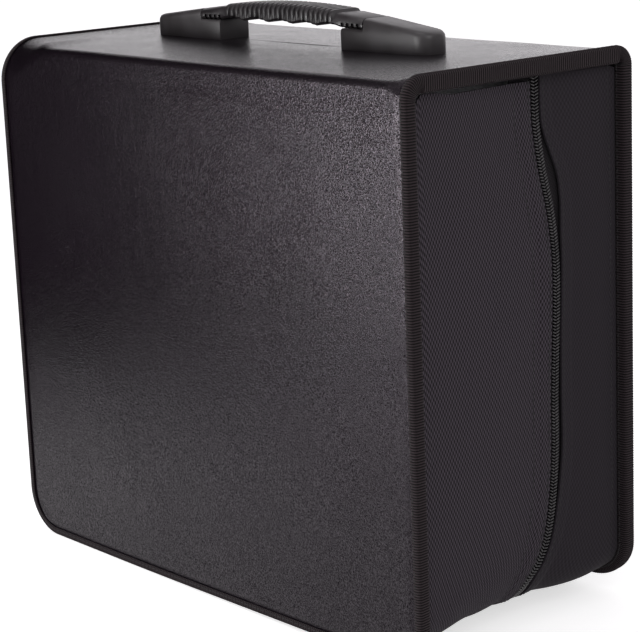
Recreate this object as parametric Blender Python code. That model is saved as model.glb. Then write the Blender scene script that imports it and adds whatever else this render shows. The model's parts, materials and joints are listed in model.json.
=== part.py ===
# Storage case for discs: a stiffened book-style wrap of leathercloth that closes round two
# cloth gusset walls with a coil zip. It stands on its opening side, so the spine with the
# carrying handle is on top and the two covers hang from the folds along the spine.
# Metres, +Z up, +X along the spine, front cover towards -Y, origin at floor level in the middle.

import math

import bmesh
import bpy
from mathutils import Vector

# Case
case_width = 0.360
case_depth = 0.166
case_height = 0.310
cover_thickness = 0.0055
spine_thickness = 0.0070
fold_radius = 0.018
cover_corner_radius = 0.027
fit_gap = 0.0003

# Binding tape sewn round the edges of the covers and the spine
tape_thickness = 0.0010
tape_width = 0.0055
tape_inner_width = 0.0060
tape_edge_round = 0.0008

# Gusset walls and the coil zip between them
zip_offset = 0.028
gusset_thickness = 0.0020
gusset_edge_inset = 0.0030
gusset_zip_inset = 0.0085
gusset_zip_radius = 0.048
gusset_top_gap = 0.0010
zip_slot_half = 0.0055
zip_tape_thickness = 0.0008
zip_tape_reach = 0.0130
coil_width = 0.0025
coil_height = 0.0018
coil_split_half = 0.0008
zip_parking_gap = 0.0085

# Zip slider and its puller
slider_length = 0.0140
slider_half_width = 0.0047
slider_plate = 0.0012
slider_lip_depth = 0.0014
slider_lip_width = 0.0010
slider_neck_length = 0.0030
slider_neck_half = 0.0005
slider_drop = 0.027
bail_height = 0.0022
bail_bar = 0.0010
bail_half_length = 0.0044
bail_post = 0.0016
bail_half_width = 0.0008
puller_length = 0.0260
puller_half_width = 0.0034
puller_thickness = 0.0012
puller_eye_reach = 0.0052
puller_eye_half = 0.0014

# Carrying handle
boot_inner_x = 0.0530
boot_outer_x = 0.1186
boot_inner_half = 0.0108
boot_outer_half = 0.0095
boot_shoulder_height = 0.0180
boot_outer_height = 0.0122
boot_seat_height = 0.0120
boot_edge_round = 0.0030
grip_end_x = 0.0705
grip_waist_half = 0.0098
grip_arch = 0.0045
grip_finger_depth = 0.0016
grip_finger_count = 5
grip_rib_depth = 0.0007
grip_rib_pitch = 0.0041
grip_rib_count = 23
grip_edge_round = 0.0036
pad_notch_count = 4
pad_notch_width = 0.0020
pad_notch_depth = 0.0030
pad_notch_pitch = 0.0042
leg_centre_x = 0.0632
leg_length_x = 0.0104
leg_half = 0.0057
leg_foot_ledge = 0.0028
leg_foot_thickness = 0.0015
boot_lip_thickness = 0.0022
slide_clearance = 0.0005

# Handle screws and backing plates
screw_radius = 0.0018
screw_head_radius = 0.0036
screw_head_height = 0.0014
screw_grip_depth = 0.0080
screw_first_x = 0.0850
screw_spacing = 0.0160
plate_thickness = 0.0012
plate_half_width = 0.0110
plate_overlap = 0.0080

# Loose-leaf binder and its disc sleeves
sleeve_count = 46
sleeve_thickness = 0.0010
sleeve_side_gap = 0.0119
sleeve_face_gap = 0.0186
sleeve_floor_gap = 0.026
sleeve_bar_height = 0.014
binder_drop = 0.0048
binder_bar_thickness = 0.0028
binder_flange = 0.0100
binder_overhang = 0.0020
post_radius = 0.0025
post_head_radius = 0.0045
post_head_height = 0.0014
post_count = 4
post_end_margin = 0.024

# Smoothness of the curved stretches
corner_steps = 8
fold_steps = 7
round_steps = 3
turned_steps = 16

half_width = case_width / 2
half_depth = case_depth / 2
hinge_height = case_height - fold_radius
cover_recess = tape_thickness + fit_gap
cover_band = cover_thickness + 2 * cover_recess
spine_band = spine_thickness + 2 * cover_recess
leather_top = case_height - cover_recess
spine_underside = leather_top - spine_thickness
wall_foot = hinge_height - gusset_top_gap
wall_crest = case_height - spine_band - gusset_top_gap
tape_level = gusset_zip_inset + gusset_thickness + fit_gap
coil_top_level = tape_level - fit_gap - coil_height
slider_centre = wall_crest - slider_drop


# The scene starts empty
for leftover in list(bpy.data.objects):
    bpy.data.objects.remove(leftover, do_unlink=True)


def finish(name, colour, roughness, metallic=0.0):
    made = bpy.data.materials.new(name)
    made.use_nodes = True
    shader = made.node_tree.nodes["Principled BSDF"]
    shader.inputs["Base Color"].default_value = (*colour, 1.0)
    shader.inputs["Roughness"].default_value = roughness
    shader.inputs["Metallic"].default_value = metallic
    return made


leathercloth = finish("leathercloth", (0.035, 0.032, 0.035), 0.45)
binding_tape = finish("binding_tape", (0.020, 0.018, 0.019), 0.85)
gusset_cloth = finish("gusset_cloth", (0.030, 0.027, 0.029), 0.90)
zip_tape_cloth = finish("zip_tape_cloth", (0.018, 0.017, 0.018), 0.85)
coil_nylon = finish("coil_nylon", (0.040, 0.038, 0.040), 0.40)
moulded_plastic = finish("moulded_plastic", (0.022, 0.021, 0.022), 0.40)
zip_metal = finish("zip_metal", (0.060, 0.058, 0.060), 0.35, 1.0)
screw_steel = finish("screw_steel", (0.550, 0.540, 0.530), 0.30, 1.0)
sleeve_film = finish("sleeve_film", (0.620, 0.630, 0.650), 0.25)
binder_plastic = finish("binder_plastic", (0.050, 0.050, 0.052), 0.45)


# A node is one object; its mesh is written in world places and hung from its joint's empty
def node(name, bm, look, pivot=None, smooth=True):
    bmesh.ops.recalc_face_normals(bm, faces=bm.faces)
    mesh = bpy.data.meshes.new(name)
    bm.to_mesh(mesh)
    bm.free()
    mesh.materials.append(look)
    made = bpy.data.objects.new(name, mesh)
    bpy.context.scene.collection.objects.link(made)
    if smooth:
        mesh.shade_smooth()
        mesh.set_sharp_from_angle(angle=math.radians(35))
    if pivot is not None:
        made.parent = pivot
        made.location = -joint_places[pivot.name]
    return made


joint_places = {}


def joint_empty(name, place):
    made = bpy.data.objects.new(name, None)
    made.location = place
    joint_places[name] = Vector(place)
    bpy.context.scene.collection.objects.link(made)
    return made


# One closed section after another, each grown from the last by an extrusion of its end face
def loft(sections):
    bm = bmesh.new()
    first = bm.faces.new([bm.verts.new(point) for point in sections[0]])
    end = first
    for section in sections[1:]:
        grown = bmesh.ops.extrude_face_region(bm, geom=[end])["geom"]
        if end is not first:
            bm.faces.remove(end)
        end = next(part for part in grown if isinstance(part, bmesh.types.BMFace))
        for vertex, point in zip(end.verts, section):
            vertex.co = point
    return bm


def box(low, high):
    bm = bmesh.new()
    bmesh.ops.create_cube(bm, size=1.0)
    for vertex in bm.verts:
        vertex.co = [low[k] + (vertex.co[k] + 0.5) * (high[k] - low[k]) for k in range(3)]
    return bm


def rod(start, end, radius, steps=turned_steps):
    start, end = Vector(start), Vector(end)
    bm = bmesh.new()
    bmesh.ops.create_cone(bm, cap_ends=True, segments=steps, radius1=radius, radius2=radius,
                          depth=(end - start).length)
    turn = Vector((0, 0, 1)).rotation_difference(end - start).to_matrix()
    bmesh.ops.rotate(bm, cent=(0, 0, 0), matrix=turn, verts=bm.verts)
    bmesh.ops.translate(bm, vec=(start + end) / 2, verts=bm.verts)
    return bm


# Hidden tools stay beside the piece that they cut or add to
def shape_with(target, name, bm, operation):
    tool = node(name, bm, target.data.materials[0], smooth=False)
    tool.parent = target.parent
    tool.location = target.location
    tool.hide_render = True
    tool.hide_viewport = True
    tool.display_type = "WIRE"
    change = target.modifiers.new(name, "BOOLEAN")
    change.operation = operation
    change.solver = "EXACT"
    change.object = tool


def arc(centre, radius, start, end, steps):
    angles = [start + (end - start) * k / steps for k in range(steps + 1)]
    return [(centre[0] + radius * math.cos(a), centre[1] + radius * math.sin(a)) for a in angles]


# Places in a half of the case: depth is measured inwards from the outside of its cover
def half_y(side, depth):
    return side * (half_depth - depth)


# The run down the left side, round the bottom and up the right side, seen from the front
def edge_run(inset, corner_radius, left_top, right_top):
    side = half_width - inset
    turn_x = side - corner_radius
    turn_z = inset + corner_radius
    left = arc((-turn_x, turn_z), corner_radius, math.pi, 1.5 * math.pi, corner_steps)
    right = arc((turn_x, turn_z), corner_radius, 1.5 * math.pi, 2 * math.pi, corner_steps)
    return [(-side, left_top)] + left + right + [(side, right_top)]


# The run up the front fold, over the spine and down the back fold, seen from the end
def spine_run(inset):
    turn_y = half_depth - fold_radius
    radius = fold_radius - inset
    front = arc((-turn_y, hinge_height), radius, math.pi, 0.5 * math.pi, fold_steps)
    back = arc((turn_y, hinge_height), radius, 0.5 * math.pi, 0.0, fold_steps)
    return front + back


def cover_panel(side):
    inset = cover_recess
    top = hinge_height - fit_gap
    run = edge_run(inset, cover_corner_radius - inset, top, top)
    depths = (cover_recess, cover_recess + cover_thickness)
    return loft([[(x, half_y(side, depth), z) for x, z in run] for depth in depths])


# The folded tape in section: (inset from the edge, depth from the outside)
def tape_section(band, edge_round):
    return [(tape_width, 0.0), (edge_round, 0.0), (0.0, edge_round),
            (0.0, band - edge_round), (edge_round, band), (tape_inner_width, band),
            (tape_inner_width, band - tape_thickness), (tape_thickness, band - tape_thickness),
            (tape_thickness, tape_thickness), (tape_width, tape_thickness)]


def cover_binding(side):
    top = hinge_height - fit_gap
    lines = [[(x, half_y(side, depth), z)
              for x, z in edge_run(inset, cover_corner_radius - inset, top, top)]
             for inset, depth in tape_section(cover_band, tape_edge_round)]
    return loft(list(zip(*lines)))


def spine_panel():
    outline = spine_run(cover_recess) + spine_run(cover_recess + spine_thickness)[::-1]
    end = half_width - cover_recess
    return loft([[(x, y, z) for y, z in outline] for x in (-end, end)])


def spine_binding(side):
    lines = [[(side * (half_width - inset), y, z) for y, z in spine_run(depth)]
             for inset, depth in tape_section(spine_band, tape_edge_round)]
    return loft(list(zip(*lines)))


# A wall of cloth or tape that follows the edge run: a station is its depth, its inset, its
# corner radius and the heights of its two ends
def wall(side, stations, thickness):
    sections = []
    for depth, inset, radius, left_top, right_top in stations:
        outer = edge_run(inset, radius, left_top, right_top)
        inner = edge_run(inset + thickness, radius - thickness, left_top, right_top)
        sections.append([(x, half_y(side, depth), z) for x, z in outer + inner[::-1]])
    return loft(sections)


# The free top hem starts low beside the fold and rises to just under the spine's binding
def hem_height(depth):
    start = cover_band + fit_gap
    rise = min(1.0, (depth - start) / (fold_radius - start))
    return wall_foot + (wall_crest - wall_foot) * rise


def zip_depth(side):
    return half_depth - side * zip_offset


def gusset_wall(side):
    start = cover_band + fit_gap
    end = zip_depth(side) - zip_slot_half
    flat_start = zip_depth(side) - zip_tape_reach - fit_gap
    edge_radius = cover_corner_radius - gusset_edge_inset
    depths = [start, fold_radius]
    depths += [fold_radius + (flat_start - fold_radius) * share for share in (0.33, 0.67, 1.0)]
    stations = []
    for depth in depths:
        rise = math.sin(0.5 * math.pi * (depth - start) / (flat_start - start))
        inset = gusset_edge_inset + (gusset_zip_inset - gusset_edge_inset) * rise
        radius = edge_radius + (gusset_zip_radius - edge_radius) * rise
        stations.append((depth, inset, radius, hem_height(depth), hem_height(depth)))
    stations.append((end, gusset_zip_inset, gusset_zip_radius, wall_crest, wall_crest))
    return wall(side, stations, gusset_thickness)


# A half of the zip is a tape with its row of coil; the front one starts below the parked slider
def zip_strip(side, far, level, thickness):
    radius = gusset_zip_radius - (level - gusset_zip_inset)
    left_top = slider_centre - slider_length / 2 - zip_parking_gap if side < 0 else wall_crest
    stations = [(zip_depth(side) - reach, level, radius, left_top, wall_crest)
                for reach in (far, coil_split_half)]
    return wall(side, stations, thickness)


def zip_tape(side):
    return zip_strip(side, zip_tape_reach, tape_level, zip_tape_thickness)


def zip_coil(side):
    return zip_strip(side, coil_split_half + coil_width, coil_top_level, coil_height)


# Zip slider on the left wall: out is the distance outwards from the wall's zip level
def slider_box(out_low, out_high, half_y_size, z_low, z_high, y_centre=zip_offset):
    x_low = -(half_width - coil_top_level) - out_high
    x_high = -(half_width - coil_top_level) - out_low
    return box((x_low, y_centre - half_y_size, z_low), (x_high, y_centre + half_y_size, z_high))


plate_out = fit_gap
plate_top = plate_out + slider_plate
inner_plate_out = -(tape_level + zip_tape_thickness - coil_top_level) - fit_gap
bail_axis_out = plate_top + bail_height / 2
bail_top = plate_top + bail_height + bail_bar


def slider_body():
    low = slider_centre - slider_length / 2
    return slider_box(plate_out, plate_top, slider_half_width, low, low + slider_length)


def add_slider_details(slider):
    low = slider_centre - slider_length / 2
    high = low + slider_length
    bite = slider_plate / 4
    shape_with(slider, "slider_inner_plate",
               slider_box(inner_plate_out - slider_plate, inner_plate_out, slider_half_width, low, high),
               "UNION")
    shape_with(slider, "slider_neck",
               slider_box(inner_plate_out - bite, plate_out + bite, slider_neck_half,
                          high - slider_neck_length, high - fit_gap), "UNION")
    lip_y = slider_half_width - slider_lip_width / 2
    for lip_side in (-1, 1):
        shape_with(slider, f"slider_lip_{lip_side}",
                   slider_box(plate_out - slider_lip_depth, plate_out + bite, slider_lip_width / 2,
                              low, high, zip_offset + lip_side * lip_y), "UNION")
    for end_side in (-1, 1):
        outer = slider_centre + end_side * bail_half_length
        inner = outer - end_side * bail_post
        shape_with(slider, f"slider_bail_post_{end_side}",
                   slider_box(plate_top - bite, bail_top - bail_bar / 2, bail_half_width,
                              min(outer, inner), max(outer, inner)), "UNION")
    shape_with(slider, "slider_bail_bar",
               slider_box(bail_top - bail_bar, bail_top, bail_half_width,
                          slider_centre - bail_half_length, slider_centre + bail_half_length),
               "UNION")


# The puller hangs from the bar of its own eye, which passes under the bail
def zip_puller():
    out_low = bail_axis_out - puller_thickness / 2
    out_high = bail_axis_out + puller_thickness / 2
    top = slider_centre + puller_thickness / 2
    return slider_box(out_low, out_high, puller_half_width, top - puller_length, top)


def puller_eye():
    reach = puller_eye_reach
    return slider_box(bail_axis_out - puller_thickness, bail_axis_out + puller_thickness,
                      puller_eye_half, slider_centre - reach,
                      slider_centre - puller_thickness / 2)


# A flat-bottomed section with rounded upper edges, as a moulded handle part has
def arch_section(x, half, low, high, edge):
    left = arc((-half + edge, high - edge), edge, math.pi, 0.5 * math.pi, round_steps)
    right = arc((half - edge, high - edge), edge, 0.5 * math.pi, 0.0, round_steps)
    return [(x, y, z) for y, z in [(-half, low)] + left + right + [(half, low)]]


def handle_boot(side):
    step_x = grip_end_x + fit_gap
    nose_x = boot_outer_x - boot_outer_half
    base = leather_top + fit_gap
    stations = []
    for x in (boot_inner_x, step_x):
        share = (x - boot_inner_x) / (nose_x - boot_inner_x)
        half = boot_inner_half + (boot_outer_half - boot_inner_half) * share ** 2
        stations.append((x, half, boot_seat_height, boot_edge_round / 2))
    for k in range(4):
        x = step_x + fit_gap + (nose_x - step_x - fit_gap) * k / 3
        share = (x - boot_inner_x) / (nose_x - boot_inner_x)
        half = boot_inner_half + (boot_outer_half - boot_inner_half) * share ** 2
        fall = (x - step_x) / (boot_outer_x - step_x)
        height = boot_shoulder_height - (boot_shoulder_height - boot_outer_height) * fall
        stations.append((x, half, height, boot_edge_round))
    for k in range(1, 6):
        angle = k * math.radians(80) / 5
        x = nose_x + boot_outer_half * math.sin(angle)
        fall = (x - step_x) / (boot_outer_x - step_x)
        height = boot_shoulder_height - (boot_shoulder_height - boot_outer_height) * fall
        half = boot_outer_half * math.cos(angle) ** 0.7
        stations.append((x, half, height - boot_edge_round * (1 - math.cos(angle)) / 2,
                         min(boot_edge_round, 0.8 * half)))
    return loft([arch_section(side * x, half, base, leather_top + height, edge)
                 for x, half, height, edge in stations])


def boot_chamber(side):
    reach_x = leg_length_x / 2 + leg_foot_ledge + slide_clearance
    reach_y = leg_half + leg_foot_ledge + slide_clearance
    centre = side * leg_centre_x
    top = leather_top + boot_seat_height - boot_lip_thickness
    return box((centre - reach_x, -reach_y, leather_top - fit_gap), (centre + reach_x, reach_y, top))


def boot_slot(side):
    reach_x = leg_length_x / 2 + slide_clearance
    reach_y = leg_half + slide_clearance
    centre = side * leg_centre_x
    top = leather_top + boot_seat_height
    return box((centre - reach_x, -reach_y, top - 2 * boot_lip_thickness),
               (centre + reach_x, reach_y, top + boot_lip_thickness))


# The grip: an arched bar with cross ribs on its middle and finger waves along its underside
def grip_half_width(x):
    share = abs(x) / grip_end_x
    return grip_waist_half + (boot_inner_half - grip_waist_half) * share ** 2


def grip_underside(x):
    seat = boot_seat_height + fit_gap
    reach = boot_inner_x - 2 * fit_gap
    if abs(x) >= reach:
        return seat
    wave = abs(math.sin(grip_finger_count * math.pi * (x + reach) / (2 * reach)))
    return seat + grip_finger_depth * wave


def grip_top(x):
    return boot_shoulder_height + grip_arch * (1 - (x / grip_end_x) ** 2)


def grip_section(x, swell):
    low = leather_top + grip_underside(x)
    high = leather_top + grip_top(x) + swell
    half = grip_half_width(x) + swell
    edge = grip_edge_round
    foot = edge / 3
    lower_left = arc((-half + foot, low + foot), foot, 1.5 * math.pi, math.pi, 1)
    upper_left = arc((-half + edge, high - edge), edge, math.pi, 0.5 * math.pi, round_steps)
    upper_right = arc((half - edge, high - edge), edge, 0.5 * math.pi, 0.0, round_steps)
    lower_right = arc((half - foot, low + foot), foot, 0.0, -0.5 * math.pi, 1)
    return [(x, y, z) for y, z in lower_left + upper_left + upper_right + lower_right]


def handle_grip():
    ribbed = grip_rib_pitch * grip_rib_count / 2
    plain = boot_inner_x + (grip_end_x - boot_inner_x) / 2
    stations = [(-grip_end_x, 0.0), (-plain, 0.0), (-boot_inner_x, 0.0)]
    for k in range(grip_rib_count):
        start = -ribbed + k * grip_rib_pitch
        for share, swell in ((0.0, 0.0), (0.25, 1.0), (0.55, 1.0), (0.80, 0.0)):
            stations.append((start + share * grip_rib_pitch, swell * grip_rib_depth))
    stations += [(boot_inner_x, 0.0), (plain, 0.0), (grip_end_x, 0.0)]
    return loft([grip_section(x, swell) for x, swell in stations])


def grip_leg(side):
    centre = side * leg_centre_x
    reach_x = leg_length_x / 2
    return box((centre - reach_x, -leg_half, leather_top + 2 * fit_gap),
               (centre + reach_x, leg_half, leather_top + boot_seat_height + boot_lip_thickness))


def grip_foot(side):
    centre = side * leg_centre_x
    reach_x = leg_length_x / 2 + leg_foot_ledge
    reach_y = leg_half + leg_foot_ledge
    low = leather_top + 2 * fit_gap
    return box((centre - reach_x, -reach_y, low), (centre + reach_x, reach_y, low + leg_foot_thickness))


lift_travel = (boot_seat_height - boot_lip_thickness - leg_foot_thickness
               - 2 * fit_gap - slide_clearance)


def cut_pad_notches(grip):
    low = leather_top + boot_seat_height
    first = grip_end_x - pad_notch_pitch
    for end_side in (-1, 1):
        for face_side in (-1, 1):
            for k in range(pad_notch_count):
                x = end_side * (first - k * pad_notch_pitch)
                edge = face_side * (boot_inner_half + pad_notch_depth)
                root = face_side * (boot_inner_half - pad_notch_depth)
                shape_with(grip, f"pad_notch_{end_side}_{face_side}_{k}",
                           box((x - pad_notch_width / 2, min(edge, root), low - fit_gap),
                               (x + pad_notch_width / 2, max(edge, root), low + pad_notch_depth)),
                           "DIFFERENCE")


# Round screws and posts are turned profiles: a head and a shank in one body
def headed_rod(start, end, radius, head_radius, head_height):
    start, end = Vector(start), Vector(end)
    along = (end - start).normalized()
    across = along.orthogonal().normalized()
    reach = (end - start).length
    profile = [(0.0, 0.0), (head_radius, 0.0), (head_radius, head_height),
               (radius, head_height), (radius, reach), (0.0, reach)]
    bm = bmesh.new()
    points = [bm.verts.new(start + across * r + along * d) for r, d in profile]
    edges = [bm.edges.new(pair) for pair in zip(points, points[1:])]
    bmesh.ops.spin(bm, geom=points + edges, cent=start, axis=along, angle=2 * math.pi,
                   steps=turned_steps, use_merge=True)
    bmesh.ops.remove_doubles(bm, verts=bm.verts, dist=fit_gap / 30)
    return bm


def screw_places():
    return [(side, side * (screw_first_x + k * screw_spacing)) for side in (-1, 1) for k in range(2)]


def backing_plate(side):
    near = screw_first_x - plate_overlap
    far = screw_first_x + screw_spacing + plate_overlap
    top = spine_underside - fit_gap
    return box((min(side * near, side * far), -plate_half_width, top - plate_thickness),
               (max(side * near, side * far), plate_half_width, top))


# Disc sleeves: every sleeve's punched strip is in the bar at the top, and the leaves hang free
stack_half = half_depth - cover_band - sleeve_face_gap
sleeve_pitch = 2 * stack_half / sleeve_count
sleeve_half = half_width - coil_top_level + inner_plate_out - slider_plate - sleeve_side_gap
sleeve_top = spine_underside - binder_drop
sleeve_bar_low = sleeve_top - sleeve_bar_height


def sleeve_pages():
    outline = [(-stack_half, sleeve_top)]
    for k in range(sleeve_count):
        centre = -stack_half + (k + 0.5) * sleeve_pitch
        near, far = centre - sleeve_thickness / 2, centre + sleeve_thickness / 2
        if k == 0:
            outline.append((-stack_half, sleeve_bar_low))
        outline += [(near, sleeve_bar_low), (near, sleeve_floor_gap),
                    (far, sleeve_floor_gap), (far, sleeve_bar_low)]
    outline += [(stack_half, sleeve_bar_low), (stack_half, sleeve_top)]
    return loft([[(x, y, z) for y, z in outline] for x in (-sleeve_half, sleeve_half)])


def binder_bar(side):
    near = stack_half + fit_gap
    far = near + binder_bar_thickness
    top = spine_underside - fit_gap
    flange_low = top - binder_bar_thickness
    section = [(near, sleeve_bar_low), (far, sleeve_bar_low), (far, top),
               (near - binder_flange, top), (near - binder_flange, flange_low), (near, flange_low)]
    reach = sleeve_half + binder_overhang
    return loft([[(x, side * y, z) for y, z in section] for x in (-reach, reach)])


def post_places():
    first = sleeve_half - post_end_margin
    return [-first + 2 * first * k / (post_count - 1) for k in range(post_count)]


# Build the spine and what is fixed to it
node("spine_panel", spine_panel(), leathercloth)
for side, word in ((-1, "left"), (1, "right")):
    node(f"spine_binding_{word}", spine_binding(side), binding_tape)
    boot = node(f"handle_boot_{word}", handle_boot(side), moulded_plastic)
    shape_with(boot, f"boot_chamber_{word}", boot_chamber(side), "DIFFERENCE")
    shape_with(boot, f"boot_slot_{word}", boot_slot(side), "DIFFERENCE")
    node(f"handle_plate_{word}", backing_plate(side), screw_steel, smooth=False)

hole_radius = screw_radius + fit_gap
hole_top = leather_top + screw_grip_depth
plate_low = spine_underside - fit_gap - plate_thickness
for number, (side, x) in enumerate(screw_places(), start=1):
    word = "left" if side < 0 else "right"
    for carrier in (f"handle_boot_{word}", "spine_panel", f"handle_plate_{word}"):
        shape_with(bpy.data.objects[carrier], f"screw_hole_{number}_{carrier}",
                   rod((x, 0, plate_low - fit_gap), (x, 0, hole_top), hole_radius), "DIFFERENCE")
    head_low = plate_low - fit_gap - screw_head_height
    node(f"handle_screw_{number}",
         headed_rod((x, 0, head_low), (x, 0, hole_top - fit_gap), screw_radius,
                    screw_head_radius, screw_head_height), screw_steel)

pages = node("sleeve_pages", sleeve_pages(), sleeve_film, smooth=False)
bars = [node(f"binder_bar_{word}", binder_bar(side), binder_plastic, smooth=False)
        for side, word in ((-1, "front"), (1, "back"))]
post_level = (sleeve_top + sleeve_bar_low) / 2
post_end = stack_half + fit_gap + binder_bar_thickness + fit_gap
for number, x in enumerate(post_places(), start=1):
    for carrier in [pages] + bars:
        shape_with(carrier, f"post_hole_{number}_{carrier.name}",
                   rod((x, -post_end, post_level), (x, post_end, post_level), post_radius + fit_gap),
                   "DIFFERENCE")
    node(f"binder_post_{number}",
         headed_rod((x, -post_end - post_head_height, post_level), (x, post_end, post_level),
                    post_radius, post_head_radius, post_head_height), screw_steel)

# Build the two halves that hang from the spine's folds
for side, word in ((-1, "front"), (1, "back")):
    pivot = joint_empty(f"{word}_cover_hinge", (0, side * half_depth, hinge_height))
    node(f"{word}_cover", cover_panel(side), leathercloth, pivot)
    node(f"{word}_binding", cover_binding(side), binding_tape, pivot)
    node(f"{word}_gusset", gusset_wall(side), gusset_cloth, pivot)
    node(f"{word}_zip_tape", zip_tape(side), zip_tape_cloth, pivot)
    node(f"{word}_zip_coil", zip_coil(side), coil_nylon, pivot)

# Build the zip slider with its puller, parked at the closed end on the left
pull_x = -(half_width - coil_top_level) - bail_axis_out
slide_pivot = joint_empty("zip_slide", (pull_x, zip_offset, slider_centre))
slider = node("zip_slider", slider_body(), zip_metal, slide_pivot, smooth=False)
add_slider_details(slider)
swing_pivot = joint_empty("puller_swing", (pull_x, zip_offset, slider_centre))
puller = node("zip_puller", zip_puller(), zip_metal, swing_pivot, smooth=False)
shape_with(puller, "puller_eye", puller_eye(), "DIFFERENCE")

# Build the grip, whose two footed legs slide in the boots
lift_pivot = joint_empty("handle_lift", (0, 0, leather_top))
grip = node("handle_grip", handle_grip(), moulded_plastic, lift_pivot)
for side in (-1, 1):
    shape_with(grip, f"grip_leg_{side}", grip_leg(side), "UNION")
    shape_with(grip, f"grip_foot_{side}", grip_foot(side), "UNION")
cut_pad_notches(grip)
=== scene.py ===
import bpy
import bmesh
import json
import math
from mathutils import Matrix, Vector, noise


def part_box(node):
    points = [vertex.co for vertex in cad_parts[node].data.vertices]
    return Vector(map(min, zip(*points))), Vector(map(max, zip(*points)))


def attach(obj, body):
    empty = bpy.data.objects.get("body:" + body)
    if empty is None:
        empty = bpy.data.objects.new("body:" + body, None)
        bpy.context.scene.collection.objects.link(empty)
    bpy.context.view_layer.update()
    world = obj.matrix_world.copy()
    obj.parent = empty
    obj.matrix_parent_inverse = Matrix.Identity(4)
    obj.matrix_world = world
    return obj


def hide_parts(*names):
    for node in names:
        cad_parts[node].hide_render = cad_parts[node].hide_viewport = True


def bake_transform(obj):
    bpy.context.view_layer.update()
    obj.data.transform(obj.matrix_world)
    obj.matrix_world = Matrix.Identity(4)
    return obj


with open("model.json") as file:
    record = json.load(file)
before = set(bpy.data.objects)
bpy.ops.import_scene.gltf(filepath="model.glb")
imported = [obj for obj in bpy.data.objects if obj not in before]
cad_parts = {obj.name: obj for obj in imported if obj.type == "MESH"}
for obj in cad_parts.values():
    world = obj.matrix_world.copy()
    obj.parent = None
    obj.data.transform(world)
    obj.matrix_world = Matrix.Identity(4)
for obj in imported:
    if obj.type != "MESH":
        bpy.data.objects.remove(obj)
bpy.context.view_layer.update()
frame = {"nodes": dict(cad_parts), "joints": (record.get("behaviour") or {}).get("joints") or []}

mm = 0.001  # the frame is in metres

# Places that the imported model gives
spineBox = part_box("spine_binding_right")
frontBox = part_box("front_binding")
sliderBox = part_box("zip_slider")
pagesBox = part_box("sleeve_pages")
hinges = {joint["name"]: joint for joint in frame["joints"]}
hingeLevel = hinges["front_cover_hinge"]["pos_m"][2]
zipStraight = hinges["puller_swing"]["pos_m"][1]

case = {
    "halfWidth": frontBox[1].x,
    "halfDepth": -frontBox[0].y,
    "height": spineBox[1].z,
    "spineBand": 9.6 * mm,      # the same on the spine
    "coverBand": 8.1 * mm,      # board with the leathercloth and both legs of the tape
    "recess": 1.3 * mm,         # the leathercloth lies this far under the tape's face
    "cornerRadius": 27 * mm,
}


def ease(value):
    value = max(0.0, min(1.0, value))
    return value * value * (3 - 2 * value)


def between(table, place):  # a smooth curve through a few (place, value) pairs
    place = max(table[0][0], min(table[-1][0], place))
    for k in range(len(table) - 1):
        (low, first), (high, second) = table[k], table[k + 1]
        if place <= high:
            before, after = table[max(0, k - 1)], table[min(len(table) - 1, k + 2)]
            leaving = (second - before[1]) / (high - before[0]) * (high - low)
            arriving = (after[1] - first) / (after[0] - low) * (high - low)
            share = (place - low) / (high - low)
            turn = share * share * (3 - 2 * share)
            return (first * (1 - turn) + second * turn + leaving * share * (1 - share) ** 2
                    - arriving * share ** 2 * (1 - share))


# Materials

def linear(hexColour):
    parts = [int(hexColour[k:k + 2], 16) / 255 for k in (1, 3, 5)]
    return tuple(c / 12.92 if c <= 0.04045 else ((c + 0.055) / 1.055) ** 2.4 for c in parts) + (1.0,)


def addNode(tree, kind, inputs, output=0, **settings):
    # Each input is a value or another node's output, and one output of the new node comes back
    made = tree.nodes.new("ShaderNode" + kind)
    for name, value in settings.items():
        setattr(made, name, value)
    for key, value in inputs.items():
        if isinstance(value, bpy.types.NodeSocket):
            tree.links.new(value, made.inputs[key])
        else:
            made.inputs[key].default_value = value
    return made.outputs[output]


def startMaterial(name, colour, roughness, **sockets):
    material = bpy.data.materials.new(name)
    material.use_nodes = True
    tree = material.node_tree
    shader = tree.nodes["Principled BSDF"]
    shader.inputs["Base Color"].default_value = linear(colour)
    shader.inputs["Roughness"].default_value = roughness
    for socket, value in sockets.items():
        shader.inputs[socket.replace("_", " ")].default_value = value
    return material, tree, shader


def finishMaterial(tree, shader, relief, tone=None, colours=(), **sockets):
    # The relief is a height, its strength and its depth; the tone runs from the first colour to the second
    height, strength, depth = relief
    sockets["Normal"] = addNode(tree, "Bump", {"Height": height, "Strength": strength, "Distance": depth})
    if tone:
        first, second = [linear(colour) for colour in colours]
        sockets["Base_Color"] = addNode(tree, "Mix", {0: tone, 6: first, 7: second}, 2, data_type="RGBA")
    for socket, value in sockets.items():
        tree.links.new(value, shader.inputs[socket.replace("_", " ")])


def weightedSum(tree, *parts):  # of pairs: a pattern and its share
    total = 0.0
    for pattern, share in parts:
        total = addNode(tree, "Math", {0: pattern, 1: share, 2: total}, operation="MULTIPLY_ADD")
    return total


leatherLook = {
    "grain": 0.74 * mm, "fineGrain": 0.48 * mm, "streak": 5 * mm, "scuff": 34 * mm, "height": 0.23 * mm,
    "dark": "#070407", "light": "#120c12", "valleyShine": 0.02, "ridgeShine": 0.40,
    # the export keeps this one, as it drops a linked shine
    "meanShine": 0.16,             # the mean shine, set on the shader's own socket beneath the linked shine
}


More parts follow.
